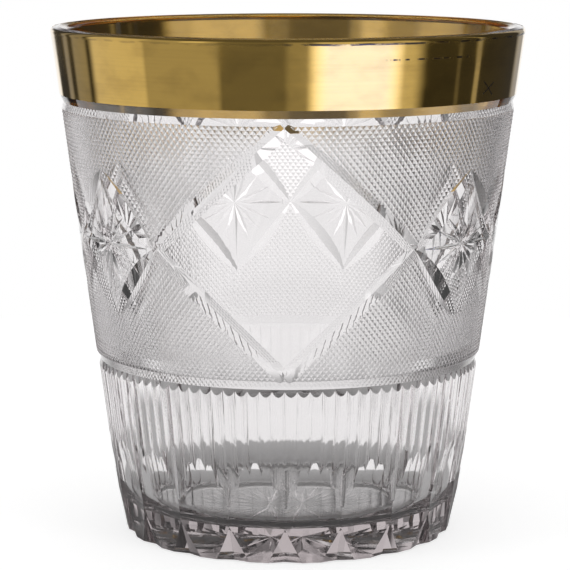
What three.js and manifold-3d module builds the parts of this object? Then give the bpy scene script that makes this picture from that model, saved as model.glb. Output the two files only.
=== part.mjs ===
// A champagne cooler of heavy cut glass: a tapered pail with a gilt band under its bare lip.
// The frame is in millimetres with +Z up. The origin is the middle of the standing face, and the
// large plain lozenge looks along -Y. Azimuths are in degrees from -Y towards +X.
import * as THREE from "three";
import { mergeVertices } from "three/addons/utils/BufferGeometryUtils.js";
import Module from "manifold-3d";

const wasm = await Module();
wasm.setup();

// The blown pail
const HEIGHT = 215;
const LIP_DIAMETER = 200;
const BASE_DIAMETER = 144;
const WALL = 7.5;
const FLOOR = 13.5;
const FLOOR_FILLET = 10;
const LIP_OUTER_ROUND = 1.6;
const LIP_INNER_ROUND = 2;
const LIP_CROWN = 0.4;

// The gilding, a fired skin from part way over the lip's round down to the upper ring groove
const GILT_THICKNESS = 0.2;
const GILT_OVER_ROUND = 45;

// The two ring grooves that bound the cut field
const UPPER_GROOVE_HEIGHT = 6.6;
const UPPER_GROOVE_DEPTH = 1.1;
const UPPER_GROOVE_FROM_LIP = 31.2;
const LOWER_GROOVE_HEIGHT = 8;
const LOWER_GROOVE_DEPTH = 1.5;
const LOWER_GROOVE_LEVEL = 74.2;

// The lozenges: one large plain one at the front and small starred ones round the rest
const SMALL_LOZENGES = 8;
const SMALL_HALF_HEIGHT = 30.6;
const SMALL_CUT_DEPTH = 2.1;
const SMALL_TIP_SHARE = 0.16;
const LARGE_EDGE_GAP = 0.6;
const LARGE_CUT_DEPTH = 2;
const LARGE_TIP_SHARE = 0.85;
const MITRE_WIDTH_PER_DEPTH = 4.2;

// The star cut in each small lozenge
const STAR_RAYS = 16;
const STAR_DEPTH = 1.4;
const STAR_WIDTH_PER_DEPTH = 2.2;
const STAR_PIT_DEPTH = 1.6;
const STAR_PIT_RADIUS = 2.2;
const STAR_SHORT_RAY = 15;
const STAR_SIDE_RAY = 20;
const STAR_UPRIGHT_RAY = 25;

// The reeds, with sharp valleys between their round crests
const REEDS = 100;
const REED_DEPTH = 0.55;
const REED_CREST_INSET = 0.35;

// The hollow flutes round the foot, and the mitre notches in the edges between them
const FLUTES = 20;
const FLUTE_TOP = 46;
const FLUTE_RUN_OUT = 30;
const FLUTE_DEPTH = 2.6;
const FLUTE_HOLLOW_RADIUS = 60;
const NOTCH_TOP = 15.4;
const NOTCH_DEPTH = 2.2;
const NOTCH_LEAST_DEPTH = 0.5;
const NOTCH_WIDTH_PER_DEPTH = 8.5;

// The star under the base
const BASE_STAR_RAYS = 20;
const BASE_STAR_RADIUS = 58;
const BASE_STAR_DEPTH = 3.2;
const BASE_STAR_WIDTH_PER_DEPTH = 2.4;
const BASE_PIT_DEPTH = 3.6;
const BASE_PIT_RADIUS = 6;

// Fineness of the facets
const SEGMENTS = 72;
const REED_STEPS = 3;
const SMALL_STATIONS = 3;
const LARGE_STATIONS = 8;
const STAR_STATIONS = 1;
const FLUTE_ARC_STEPS = 4;
const FLUTE_RUN_OUT_STEPS = 4;
const FLUTE_OVERLAP = 1.25;
const RUN_OUT_OVERLAP = 1.15;
const PIT_SIDES = 8;
const LIP_ROUND_STEPS = 2;
const GILT_ROUND_STEPS = 1;
const FILLET_STEPS = 3;
const CLEAR = 2;
const JOIN_TOLERANCE = 0.0001;

// Sizes worked out from the ones above
const TAPER = (LIP_DIAMETER - BASE_DIAMETER) / 2 / HEIGHT;
const TAPER_ANGLE = Math.atan(TAPER);
const UPPER_GROOVE_LEVEL = HEIGHT - UPPER_GROOVE_FROM_LIP;
const GILT_FOOT = UPPER_GROOVE_LEVEL + UPPER_GROOVE_HEIGHT / 2;
const ROUND_FOOT = HEIGHT - LIP_CROWN - LIP_OUTER_ROUND;
const FIELD_TOP = UPPER_GROOVE_LEVEL - UPPER_GROOVE_HEIGHT / 2;
const FIELD_BOTTOM = LOWER_GROOVE_LEVEL + LOWER_GROOVE_HEIGHT / 2;
const FIELD_MIDDLE = (FIELD_TOP + FIELD_BOTTOM) / 2;
const SMALL_PITCH = 360 / (SMALL_LOZENGES + 2);

const wallRadius = (z) => BASE_DIAMETER / 2 + TAPER * z;
const innerRadius = (z) => wallRadius(z) - WALL / Math.cos(TAPER_ANGLE);
const ROUND_MIDDLE = wallRadius(ROUND_FOOT) - LIP_OUTER_ROUND;
const radians = THREE.MathUtils.degToRad;

// Unit vector pointing away from the axis at an azimuth.
function outwardAt(azimuth) {
  const a = radians(azimuth);
  return new THREE.Vector3(Math.sin(a), -Math.cos(a), 0);
}

// A point of the outer wall, with the wall's normal there.
function wallPoint(azimuth, z) {
  const outward = outwardAt(azimuth);
  const normal = outward.clone().multiplyScalar(Math.cos(TAPER_ANGLE));
  normal.z = -Math.sin(TAPER_ANGLE);
  const point = outward.multiplyScalar(wallRadius(z));
  point.z = z;
  return { point, normal };
}

// A manifold solid from a closed three.js geometry.
function solidOf(geometry) {
  const bare = geometry.clone();
  bare.deleteAttribute("normal");
  bare.deleteAttribute("uv");
  const merged = mergeVertices(bare, JOIN_TOLERANCE);
  const mesh = new wasm.Mesh({
    numProp: 3,
    vertProperties: new Float32Array(merged.getAttribute("position").array),
    triVerts: new Uint32Array(merged.index.array),
  });
  return new wasm.Manifold(mesh);
}

// A three.js geometry from a manifold solid.
function geometryOf(solid) {
  const mesh = solid.getMesh();
  const geometry = new THREE.BufferGeometry();
  geometry.setAttribute("position", new THREE.BufferAttribute(mesh.vertProperties, 3));
  geometry.setIndex(new THREE.BufferAttribute(mesh.triVerts, 1));
  geometry.computeVertexNormals();
  return geometry;
}

// A solid of revolution about Z from a profile of (radius, z) points, run up the outside.
function turned(profile) {
  const geometry = new THREE.LatheGeometry(profile, SEGMENTS);
  return geometry.rotateX(Math.PI / 2);
}

// Points of a round of the profile, from one angle to another about a centre.
function roundPoints(x, z, radius, fromAngle, toAngle, steps) {
  return Array.from({ length: steps + 1 }, (_, i) => {
    const a = radians(THREE.MathUtils.lerp(fromAngle, toAngle, i / steps));
    return new THREE.Vector2(x + radius * Math.cos(a), z + radius * Math.sin(a));
  });
}

// The profile's three points across a ring groove.
function ringGroove(level, height, depth) {
  const low = level - height / 2;
  const high = level + height / 2;
  return [
    new THREE.Vector2(wallRadius(low), low),
    new THREE.Vector2(wallRadius(level) - depth, level),
    new THREE.Vector2(wallRadius(high), high),
  ];
}

// The pail before its pattern is cut: outside, lip, inside and floor.
function blankProfile() {
  const innerZ = HEIGHT - LIP_CROWN - LIP_INNER_ROUND;
  const innerX = innerRadius(innerZ) + LIP_INNER_ROUND;
  const filletZ = FLOOR + FLOOR_FILLET;
  const filletX = innerRadius(filletZ) - FLOOR_FILLET;
  return [
    new THREE.Vector2(0, 0),
    new THREE.Vector2(wallRadius(0), 0),
    ...ringGroove(LOWER_GROOVE_LEVEL, LOWER_GROOVE_HEIGHT, LOWER_GROOVE_DEPTH),
    ...ringGroove(UPPER_GROOVE_LEVEL, UPPER_GROOVE_HEIGHT, UPPER_GROOVE_DEPTH),
    ...roundPoints(ROUND_MIDDLE, ROUND_FOOT, LIP_OUTER_ROUND, 0, 90, LIP_ROUND_STEPS),
    new THREE.Vector2((ROUND_MIDDLE + innerX) / 2, HEIGHT),
    ...roundPoints(innerX, innerZ, LIP_INNER_ROUND, 90, 180, LIP_ROUND_STEPS),
    ...roundPoints(filletX, filletZ, FLOOR_FILLET, 0, -90, FILLET_STEPS),
    new THREE.Vector2(0, FLOOR),
  ];
}

// A cutter swept along stations. Each station is a point with its normal and a depth, and the
// section is a list of [sideways, height] pairs that the function sectionAt gives for that depth.
function sweptCutter(stations, sectionAt) {
  const rings = stations.map(({ point, normal, depth }, i) => {
    const before = stations[Math.max(i - 1, 0)].point;
    const after = stations[Math.min(i + 1, stations.length - 1)].point;
    const along = new THREE.Vector3().subVectors(after, before).normalize();
    const sideways = new THREE.Vector3().crossVectors(along, normal).normalize();
    const up = new THREE.Vector3().crossVectors(sideways, along).normalize();
    return sectionAt(depth).map(([side, height]) =>
      point.clone().addScaledVector(sideways, side).addScaledVector(up, height),
    );
  });
  const count = rings[0].length;
  const index = [];
  for (let i = 0; i + 1 < rings.length; i += 1) {
    for (let j = 0; j < count; j += 1) {
      const a = i * count + j;
      const b = i * count + ((j + 1) % count);
      index.push(a, a + count, b, b, a + count, b + count);
    }
  }
  const last = (rings.length - 1) * count;
  for (let j = 1; j + 1 < count; j += 1) {
    index.push(0, j, j + 1);
    index.push(last, last + j + 1, last + j);
  }
  const geometry = new THREE.BufferGeometry().setFromPoints(rings.flat());
  geometry.setIndex(index);
  return solidOf(geometry);
}

// The section of a mitre wheel: a V whose sides go on above the surface.
function mitreSection(widthPerDepth) {
  return (depth) => {
    const half = ((depth + CLEAR) * widthPerDepth) / 2;
    return [
      [0, -depth],
      [half, CLEAR],
      [-half, CLEAR],
    ];
  };
}

// Stations of a cut over the wall, straight on the unrolled wall between two places.
function wallStations(from, to, count, depthAt) {
  return Array.from({ length: count + 1 }, (_, i) => {
    const share = i / count;
    const azimuth = THREE.MathUtils.lerp(from.azimuth, to.azimuth, share);
    const z = THREE.MathUtils.lerp(from.z, to.z, share);
    return { ...wallPoint(azimuth, z), depth: depthAt(share) };
  });
}

// The four sides of a lozenge as mitre cuts, deepest at the middle of each side.
function lozengeCutters(azimuth, halfAngle, halfHeight, depth, tipShare, stations) {
  const corners = [
    { azimuth, z: FIELD_MIDDLE + halfHeight },
    { azimuth: azimuth + halfAngle, z: FIELD_MIDDLE },
    { azimuth, z: FIELD_MIDDLE - halfHeight },
    { azimuth: azimuth - halfAngle, z: FIELD_MIDDLE },
  ];
  const depthAt = (share) => {
    const swell = 1 - (2 * share - 1) ** 2;
    return depth * (tipShare + (1 - tipShare) * swell);
  };
  return corners.map((corner, i) =>
    sweptCutter(
      wallStations(corner, corners[(i + 1) % 4], stations, depthAt),
      mitreSection(MITRE_WIDTH_PER_DEPTH),
    ),
  );
}

// A small cone, sunk to a depth below a surface, that clears the middle of a star.
function pitCutter({ point, normal }, depth, radius) {
  const height = depth + CLEAR;
  const cone = new THREE.ConeGeometry((radius * height) / depth, height, PIT_SIDES);
  const inward = normal.clone().negate();
  cone.applyQuaternion(new THREE.Quaternion().setFromUnitVectors(new THREE.Vector3(0, 1, 0), inward));
  const middle = point.clone().addScaledVector(inward, depth - height / 2);
  return solidOf(cone.translate(middle.x, middle.y, middle.z));
}

// Length of a star's ray: long to the corners of its lozenge and short between them.
function rayLength(index) {
  const quarter = STAR_RAYS / 4;
  if (index % quarter) return STAR_SHORT_RAY;
  return (index / quarter) % 2 ? STAR_SIDE_RAY : STAR_UPRIGHT_RAY;
}

// The star in a small lozenge: a pit, and rays as mitre cuts that run out to a point.
function starCutters(azimuth) {
  const millimetresPerDegree = radians(wallRadius(FIELD_MIDDLE));
  const pit = pitCutter(wallPoint(azimuth, FIELD_MIDDLE), STAR_PIT_DEPTH, STAR_PIT_RADIUS);
  const rays = Array.from({ length: STAR_RAYS }, (_, i) => {
    const turn = (i * 2 * Math.PI) / STAR_RAYS;
    const reach = rayLength(i);
    const tip = {
      azimuth: azimuth + (reach * Math.sin(turn)) / millimetresPerDegree,
      z: FIELD_MIDDLE + reach * Math.cos(turn),
    };
    const centre = { azimuth, z: FIELD_MIDDLE };
    const depthAt = (share) => STAR_DEPTH * (1 - share);
    const stations = wallStations(centre, tip, STAR_STATIONS, depthAt);
    return sweptCutter(stations, mitreSection(STAR_WIDTH_PER_DEPTH));
  });
  return [pit, ...rays];
}

// Azimuths of the small lozenges, which leave two pitches free at the front.
function smallAzimuths() {
  return Array.from({ length: SMALL_LOZENGES }, (_, i) => (i + 1.5) * SMALL_PITCH);
}

// The ring of waste round the reeds: its inner face has a round crest on each reed.
function reedWaste() {
  const top = LOWER_GROOVE_LEVEL;
  const bottom = FLUTE_TOP - FLUTE_RUN_OUT - CLEAR;
  const count = REEDS * REED_STEPS;
  const loop = (radiusAt, z) =>
    Array.from({ length: count }, (_, i) => {
      const across = (i % REED_STEPS) / REED_STEPS - 0.5;
      const azimuth = (i * 360) / count;
      const point = outwardAt(azimuth).multiplyScalar(radiusAt(z, across));
      point.z = z;
      return point;
    });
  const crest = (z, across) => wallRadius(z) - REED_CREST_INSET - REED_DEPTH * (2 * across) ** 2;
  const outside = (z) => wallRadius(z) + CLEAR;
  const loops = [loop(crest, bottom), loop(outside, bottom), loop(outside, top), loop(crest, top)];
  const index = [];
  for (let i = 0; i < loops.length; i += 1) {
    for (let j = 0; j < count; j += 1) {
      const a = i * count + j;
      const b = i * count + ((j + 1) % count);
      const c = ((i + 1) % loops.length) * count + j;
      const d = ((i + 1) % loops.length) * count + ((j + 1) % count);
      index.push(a, b, c, b, d, c);
    }
  }
  const geometry = new THREE.BufferGeometry().setFromPoints(loops.flat());
  geometry.setIndex(index);
  return solidOf(geometry);
}

// The section of a hollow flute: a shallow arc between two upright sides.
function fluteSection(depth) {
  const half = wallRadius(0) * Math.tan(radians(180 / FLUTES));
  const reach = half * FLUTE_OVERLAP;
  const arc = Array.from({ length: FLUTE_ARC_STEPS + 1 }, (_, i) => {
    const side = THREE.MathUtils.lerp(-reach, reach, i / FLUTE_ARC_STEPS);
    return [side, -depth + side ** 2 / (2 * FLUTE_HOLLOW_RADIUS)];
  });
  return [...arc, [reach, 2 * CLEAR], [-reach, 2 * CLEAR]];
}

// One hollow flute, straight up the foot and run out at its top along the wheel's arc.
function fluteCutter(azimuth) {
  const straightTop = FLUTE_TOP - FLUTE_RUN_OUT;
  const levels = [-CLEAR];
  for (let i = 0; i <= FLUTE_RUN_OUT_STEPS; i += 1) {
    levels.push(straightTop + (FLUTE_RUN_OUT * RUN_OUT_OVERLAP * i) / FLUTE_RUN_OUT_STEPS);
  }
  const stations = levels.map((z) => {
    const past = Math.max(0, z - straightTop) / FLUTE_RUN_OUT;
    return { ...wallPoint(azimuth, z), depth: FLUTE_DEPTH * (1 - past ** 2) };
  });
  return sweptCutter(stations, fluteSection);
}

// One mitre notch in the edge between two flutes, deepest at the standing edge.
function notchCutter(azimuth) {
  const low = { azimuth, z: -CLEAR };
  const high = { azimuth, z: NOTCH_TOP };
  const depthAt = (share) => NOTCH_DEPTH * (1 - share) + NOTCH_LEAST_DEPTH;
  return sweptCutter(wallStations(low, high, 1, depthAt), mitreSection(NOTCH_WIDTH_PER_DEPTH));
}

// The star under the base.
function baseStarCutters() {
  const normal = new THREE.Vector3(0, 0, -1);
  const centre = { point: new THREE.Vector3(), normal };
  const rays = around(BASE_STAR_RAYS, 0, (azimuth) => {
    const tip = { point: outwardAt(azimuth).multiplyScalar(BASE_STAR_RADIUS), normal, depth: 0 };
    const stations = [{ ...centre, depth: BASE_STAR_DEPTH }, tip];
    return sweptCutter(stations, mitreSection(BASE_STAR_WIDTH_PER_DEPTH));
  });
  return [pitCutter(centre, BASE_PIT_DEPTH, BASE_PIT_RADIUS), ...rays];
}

// Takes a list of cutters from a solid, one after another.
function cutAll(solid, cutters) {
  return cutters.reduce((rest, cutter) => rest.subtract(cutter), solid);
}

// The cutters of the field: the sides of every lozenge and the stars of the small ones.
function fieldCutters() {
  const largeHalfHeight = (FIELD_TOP - FIELD_BOTTOM) / 2 - LARGE_EDGE_GAP;
  const smallCut = [SMALL_CUT_DEPTH, SMALL_TIP_SHARE, SMALL_STATIONS];
  const largeCut = [LARGE_CUT_DEPTH, LARGE_TIP_SHARE, LARGE_STATIONS];
  const small = smallAzimuths().flatMap((azimuth) => [
    ...lozengeCutters(azimuth, SMALL_PITCH / 2, SMALL_HALF_HEIGHT, ...smallCut),
    ...starCutters(azimuth),
  ]);
  return [...small, ...lozengeCutters(0, SMALL_PITCH, largeHalfHeight, ...largeCut)];
}

// Copies of one cutter's maker round the axis.
function around(count, offset, make) {
  return Array.from({ length: count }, (_, i) => make(((i + offset) * 360) / count));
}

// The glass pail with its whole pattern cut.
function glassGeometry() {
  const blank = solidOf(turned(blankProfile()));
  const reeded = blank.subtract(reedWaste());
  const cut = cutAll(reeded, [
    ...fieldCutters(),
    ...around(FLUTES, 0.5, fluteCutter),
    ...around(FLUTES, 0, notchCutter),
    ...baseStarCutters(),
  ]);
  return geometryOf(cut);
}

// The gilding as a thin sleeve on the wall, from the upper ring groove on to the lip's round.
function giltGeometry() {
  const outside = LIP_OUTER_ROUND + GILT_THICKNESS;
  return turned([
    new THREE.Vector2(wallRadius(GILT_FOOT), GILT_FOOT),
    new THREE.Vector2(wallRadius(GILT_FOOT) + GILT_THICKNESS, GILT_FOOT),
    ...roundPoints(ROUND_MIDDLE, ROUND_FOOT, outside, 0, GILT_OVER_ROUND, GILT_ROUND_STEPS),
    ...roundPoints(ROUND_MIDDLE, ROUND_FOOT, LIP_OUTER_ROUND, GILT_OVER_ROUND, 0, GILT_ROUND_STEPS),
    new THREE.Vector2(wallRadius(GILT_FOOT), GILT_FOOT),
  ]);
}

const clearGlass = new THREE.MeshStandardMaterial({
  color: 0xe6e4e0,
  roughness: 0.03,
  metalness: 0,
  transparent: true,
  opacity: 0.35,
});
const gilding = new THREE.MeshStandardMaterial({ color: 0xc3a564, roughness: 0.12, metalness: 1 });

function namedMesh(name, geometry, material) {
  const mesh = new THREE.Mesh(geometry, material);
  mesh.name = name;
  return mesh;
}

const cooler = new THREE.Group();
cooler.add(namedMesh("glass_pail", glassGeometry(), clearGlass));
cooler.add(namedMesh("gilt_band", giltGeometry(), gilding));

export default cooler;
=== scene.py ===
# %% [markdown]
# # A champagne cooler of cut glass
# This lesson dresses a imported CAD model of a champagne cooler: a tapered pail of heavy clear
# glass, cut all over on the wheel, with a fired band of gold round its rim. The CAD model is the
# fixed frame. It says how tall and wide the pail is and where the cuts lie. Here the glass gets
# its fine cutting, and the light that makes cut glass sparkle.
#
# Everything is in metres in the end, with +Z up and the pail standing on z = 0. The large plain
# lozenge of the pattern looks along -Y, at the camera.

# %% Open the frame
import math

import bmesh
import bpy
import numpy as np
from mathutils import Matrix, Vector


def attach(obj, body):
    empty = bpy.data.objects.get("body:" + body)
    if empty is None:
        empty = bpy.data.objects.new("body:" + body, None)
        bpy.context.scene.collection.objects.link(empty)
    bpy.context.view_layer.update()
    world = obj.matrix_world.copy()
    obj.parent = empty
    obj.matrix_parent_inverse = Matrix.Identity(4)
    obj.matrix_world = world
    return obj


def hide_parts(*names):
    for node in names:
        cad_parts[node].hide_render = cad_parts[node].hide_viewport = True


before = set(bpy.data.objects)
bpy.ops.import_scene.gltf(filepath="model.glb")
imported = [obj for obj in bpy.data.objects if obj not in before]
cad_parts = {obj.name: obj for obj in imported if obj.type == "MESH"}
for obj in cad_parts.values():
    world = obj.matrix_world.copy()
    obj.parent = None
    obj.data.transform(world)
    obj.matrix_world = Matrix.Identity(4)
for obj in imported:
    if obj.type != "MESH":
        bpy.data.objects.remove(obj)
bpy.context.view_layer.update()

scene = bpy.context.scene

# %% [markdown]
# ## The camera
# The view is that of a long lens a little over a metre away, slightly above the lip. The lip, the
# band and the foot are circles that look like ellipses. Their heights against their widths give
# the angle at which each was seen, and how that angle grows downwards says how far away the
# camera stood. It looks down by nine degrees, a degree to the right of the lozenge's middle.

# %% Set up the camera
CAMERA_DISTANCE = 1.0671
CAMERA_HEIGHT = 0.2734
CAMERA_PITCH = 9.026
CAMERA_AZIMUTH = 0.95
CAMERA_SIDESTEP = -0.00123
LENS = 159.26
SENSOR_WIDTH = 36

turn = math.radians(CAMERA_AZIMUTH)
to_the_right = Vector((math.cos(turn), math.sin(turn), 0))
towards_camera = Vector((math.sin(turn), -math.cos(turn), 0))
lens = bpy.data.cameras.new("camera")
lens.lens = LENS
lens.sensor_width = SENSOR_WIDTH
camera = bpy.data.objects.new("camera", lens)
camera.location = towards_camera * CAMERA_DISTANCE + to_the_right * CAMERA_SIDESTEP
camera.location.z = CAMERA_HEIGHT
camera.rotation_euler = (math.radians(90 - CAMERA_PITCH), 0, turn)
scene.collection.objects.link(camera)
scene.camera = camera
print("camera at", [round(v, 4) for v in camera.location])

# %% [markdown]
# ## Sizes of the pail
# The sizes are in millimetres, as a glass cutter would mark them out, and only the finished
# meshes are scaled to metres. The wall is a cone, so one function gives any point of it from an
# azimuth, a height and a lift off the surface. Azimuths are counted from -Y towards +X. Every cut
# of the wall is drawn on the unrolled cone and laid round the pail by that function.

# %% Sizes of the blown pail, and the wall as a function
MM = 0.001
HEIGHT = 215
BASE_RADIUS = 72
LIP_RADIUS = 100
WALL = 7.5
FLOOR = 13.5
TAPER = (LIP_RADIUS - BASE_RADIUS) / HEIGHT
LEAN = math.atan(TAPER)


def wall_radius(z):
    return BASE_RADIUS + TAPER * z


def round_axis(radius, angle, height):
    """Points at a distance from the axis, their angles in radians."""
    return np.stack(np.broadcast_arrays(radius * np.sin(angle), -radius * np.cos(angle), height), axis=-1)


def on_wall(azimuth, z, lift=0.0):
    """Points off the outer wall by a lift along its normal, in millimetres."""
    radius = wall_radius(z) + lift * math.cos(LEAN)
    return round_axis(radius, np.radians(azimuth), z - lift * math.sin(LEAN))


def wall_normal(azimuth):
    return round_axis(math.cos(LEAN), np.radians(azimuth), -math.sin(LEAN))


print("wall leans out by", round(math.degrees(LEAN), 2), "degrees")

# %% [markdown]
# ## Closed meshes by hand
# Every shape below is a list of points and a list of faces. Cutting one solid with another needs
# both to be closed with their faces looking outwards, so the helper turns the faces after it has
# made the mesh. Several separate cutters can share one mesh where they don't touch. Each face
# also carries the number of its finish, so that a cutter leaves its finish on what it has cut.

# %% Helpers that make meshes
POLISHED, GROUND_MATT = 0, 1


def turn_outwards(mesh):
    """Makes the faces of closed shells look outwards."""
    work = bmesh.new()
    work.from_mesh(mesh)
    bmesh.ops.recalc_face_normals(work, faces=work.faces)
    work.to_mesh(mesh)
    work.free()


def solid(name, shapes, finish=POLISHED):
    """One object from a list of (points in millimetres, faces), all its faces of one finish."""
    points, faces, count = [], [], 0
    for shape_points, shape_faces in shapes:
        points.append(np.asarray(shape_points, float).reshape(-1, 3))
        faces += [tuple(i + count for i in face) for face in shape_faces]
        count += len(points[-1])
    mesh = bpy.data.meshes.new(name)
    mesh.from_pydata((np.concatenate(points) * MM).tolist(), [], faces)
    mesh.materials.append(None)
    mesh.materials.append(None)
    mesh.polygons.foreach_set("material_index", [finish] * len(faces))
    turn_outwards(mesh)
    obj = bpy.data.objects.new(name, mesh)
    scene.collection.objects.link(obj)
    return obj


def loops_joined(loops, count, closed):
    """Quads between neighbouring loops of points, and back to the first loop if closed."""
    faces = []
    for i in range(loops if closed else loops - 1):
        for j in range(count):
            a, b = i * count + j, i * count + (j + 1) % count
            c, d = (i + 1) % loops * count + j, (i + 1) % loops * count + (j + 1) % count
            faces.append((a, b, d, c))
    return faces


print("finishes: polished", POLISHED, "and ground matt", GROUND_MATT)

# %% [markdown]
# ## The blank
# The glass house hands the cutter a blank: a thick plain pail, blown into a mould. It is a
# profile turned about the axis. The profile goes up the outside, over the fire polished lip, down
# the inside and across the floor. The two ring grooves that frame the pattern are in the profile
# too, because they run right round. A short straight piece where a rounding meets the long wall
# or the floor keeps the smooth shading from spreading over them.

# %% Helpers that draw a profile
UPPER_GROOVE = {"level": 183.8, "height": 6.6, "depth": 1.1}
LOWER_GROOVE = {"level": 74.2, "height": 8.0, "depth": 1.5}
LIP_OUTER_ROUND = 1.6
LIP_INNER_ROUND = 2.0
LIP_CROWN = 0.4
FLOOR_FILLET = 10
ROUND_STEPS = 10
EASE = 0.5


def round_points(x, z, radius, start, end):
    angles = np.radians(np.linspace(start, end, ROUND_STEPS + 1))
    return [(x + radius * math.cos(a), z + radius * math.sin(a)) for a in angles]


def ring_groove(level, height, depth):
    low, high = level - height / 2, level + height / 2
    return [(wall_radius(low), low), (wall_radius(level) - depth, level), (wall_radius(high), high)]


def inner_radius(z):
    return wall_radius(z) - WALL / math.cos(LEAN)


def wall_point(radius_at, z):
    return radius_at(z), z


print("inside of the lip:", round(2 * inner_radius(HEIGHT), 1), "mm across")

# %% Draw the profile of the blank
def blank_profile():
    shoulder = HEIGHT - LIP_CROWN
    outer_z, inner_z = shoulder - LIP_OUTER_ROUND, shoulder - LIP_INNER_ROUND
    outer_x, inner_x = wall_radius(outer_z) - LIP_OUTER_ROUND, inner_radius(inner_z) + LIP_INNER_ROUND
    fillet_z = FLOOR + FLOOR_FILLET
    fillet_x = inner_radius(fillet_z) - FLOOR_FILLET
    return [
        (0, 0),
        (wall_radius(0), 0),
        *ring_groove(**LOWER_GROOVE),
        *ring_groove(**UPPER_GROOVE),
        wall_point(wall_radius, outer_z - EASE),
        *round_points(outer_x, outer_z, LIP_OUTER_ROUND, 0, 90),
        ((outer_x + inner_x) / 2, HEIGHT),
        *round_points(inner_x, inner_z, LIP_INNER_ROUND, 90, 180),
        wall_point(inner_radius, inner_z - EASE),
        wall_point(inner_radius, fillet_z + EASE),
        *round_points(fillet_x, fillet_z, FLOOR_FILLET, 0, -90),
        (fillet_x - EASE, FLOOR),
        (0, FLOOR),
    ]


print("profile:", len(blank_profile()), "points")

# %% [markdown]
# ## Turning the blank
# The Screw modifier could turn the profile. The lathe by hand puts its columns where those of the
# hatching will stand. The two ends of the profile lie on the axis, so a fan of triangles closes
# the pail under the foot and on the floor.

# %% Turn the blank
COLUMNS = 440


def turned(profile, columns):
    """Points and faces of a profile turned about Z, closed by a fan at both ends on the axis."""
    (_, low), *rings, (_, high) = profile
    angles = np.linspace(0, 2 * math.pi, columns, endpoint=False)
    loops = [round_axis(r, angles, z) for r, z in rings]
    faces = loops_joined(len(rings), columns, closed=False)
    last, bottom, top = (len(rings) - 1) * columns, len(rings) * columns, len(rings) * columns + 1
    faces += [((j + 1) % columns, j, bottom) for j in range(columns)]
    faces += [(last + j, last + (j + 1) % columns, top) for j in range(columns)]
    return np.concatenate(loops + [[(0, 0, low), (0, 0, high)]]), faces


pail = solid("cut_glass_pail", [turned(blank_profile(), COLUMNS)])
print("blank:", len(pail.data.polygons), "faces")

# %% [markdown]
# ## How a cut is made
# A cutting wheel with a V-shaped edge is pressed along a line and leaves a mitre cut. Here the
# wheel's path is a row of stations on the wall, and its edge is a section drawn across the path.
# The swept wheel is a solid of its own, and the Boolean modifier takes it from the pail. The
# Manifold solver is quick and sure on closed meshes, and each modifier is applied at once so that
# the next cut meets finished glass.

# %% Helpers that sweep a wheel and cut with it
CLEAR = 2.0


def sweep(points, normals, sections):
    """Points and faces of sections laid across a path, closed at both ends."""
    along = np.gradient(points, axis=0)
    along /= np.linalg.norm(along, axis=1, keepdims=True)
    side = np.cross(along, normals)
    side /= np.linalg.norm(side, axis=1, keepdims=True)
    up = np.cross(side, along)
    rings = points[:, None] + sections[..., :1] * side[:, None] + sections[..., 1:] * up[:, None]
    loops, count = rings.shape[:2]
    faces = loops_joined(loops, count, closed=False)
    faces += [tuple(range(count)), tuple((loops - 1) * count + j for j in reversed(range(count)))]
    return rings, faces


def mitre_sections(depths, width_per_depth):
    """The V of the wheel at each depth, carried on above the surface."""
    half = (depths + CLEAR) * width_per_depth / 2
    bottom = np.stack([np.zeros_like(half), -depths], -1)
    above = np.full_like(half, CLEAR)
    return np.stack([bottom, np.stack([half, above], -1), np.stack([-half, above], -1)], 1)


def cut(target, cutter):
    """Takes the cutter from the target by one Boolean and removes the cutter."""
    modifier = target.modifiers.new("cut", "BOOLEAN")
    modifier.operation = "DIFFERENCE"
    modifier.solver = "MANIFOLD"
    modifier.object = cutter
    depsgraph = bpy.context.evaluated_depsgraph_get()
    mesh = bpy.data.meshes.new_from_object(target.evaluated_get(depsgraph), depsgraph=depsgraph)
    target.modifiers.remove(modifier)
    old, target.data = target.data, mesh
    bpy.data.meshes.remove(old)
    bpy.data.objects.remove(cutter)
    print("after the cut:", len(mesh.polygons), "faces")


print("cutters stand", CLEAR, "mm clear of the glass")

# %% [markdown]
# ## Where the lozenges lie
# The field between the two ring grooves is divided into ten places of 36 degrees. The large plain
# lozenge at the front takes two of them, and eight small ones with stars stand side by side in
# the rest, corner to corner at half height. The table of their azimuths, half widths and half
# heights is needed twice: to keep the panes clear of hatching, and to cut the sides.

# %% Lay out the lozenges
FIELD_BOTTOM = LOWER_GROOVE["level"] + LOWER_GROOVE["height"] / 2
FIELD_TOP = UPPER_GROOVE["level"] - UPPER_GROOVE["height"] / 2
FIELD_MIDDLE = (FIELD_BOTTOM + FIELD_TOP) / 2
LOZENGE_PITCH = 36
SMALL_LOZENGES = 8
FIRST_SMALL_PLACE = 1.5
SMALL_HALF_HEIGHT = 30.6
LARGE_MARGIN = 0.6
LARGE_HALF_HEIGHT = (FIELD_TOP - FIELD_BOTTOM) / 2 - LARGE_MARGIN
SMALL_AZIMUTHS = [(i + FIRST_SMALL_PLACE) * LOZENGE_PITCH for i in range(SMALL_LOZENGES)]
LOZENGES = [(0, LOZENGE_PITCH, LARGE_HALF_HEIGHT)]
LOZENGES += [(azimuth, LOZENGE_PITCH / 2, SMALL_HALF_HEIGHT) for azimuth in SMALL_AZIMUTHS]
print(len(LOZENGES), "lozenges in a field of", round(FIELD_TOP - FIELD_BOTTOM, 1), "mm")

# %% [markdown]
# ## The hatched ground
# Between the lozenges the ground is covered by two families of fine mitre cuts. They cross and
# leave thousands of small four-sided points, which break up the light and make the glass look
# frosted. Cutting each line by itself would take hundreds of cuts. The waste is one ring instead:
# its inner face is a lattice of high and low points, two triangles to a square, so that the edges
# between low points are the bottoms of the cuts. The rows grow with the radius, which keeps the
# cuts at one angle from top to bottom. The waste's finish is matt, as the wheel left it.

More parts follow.
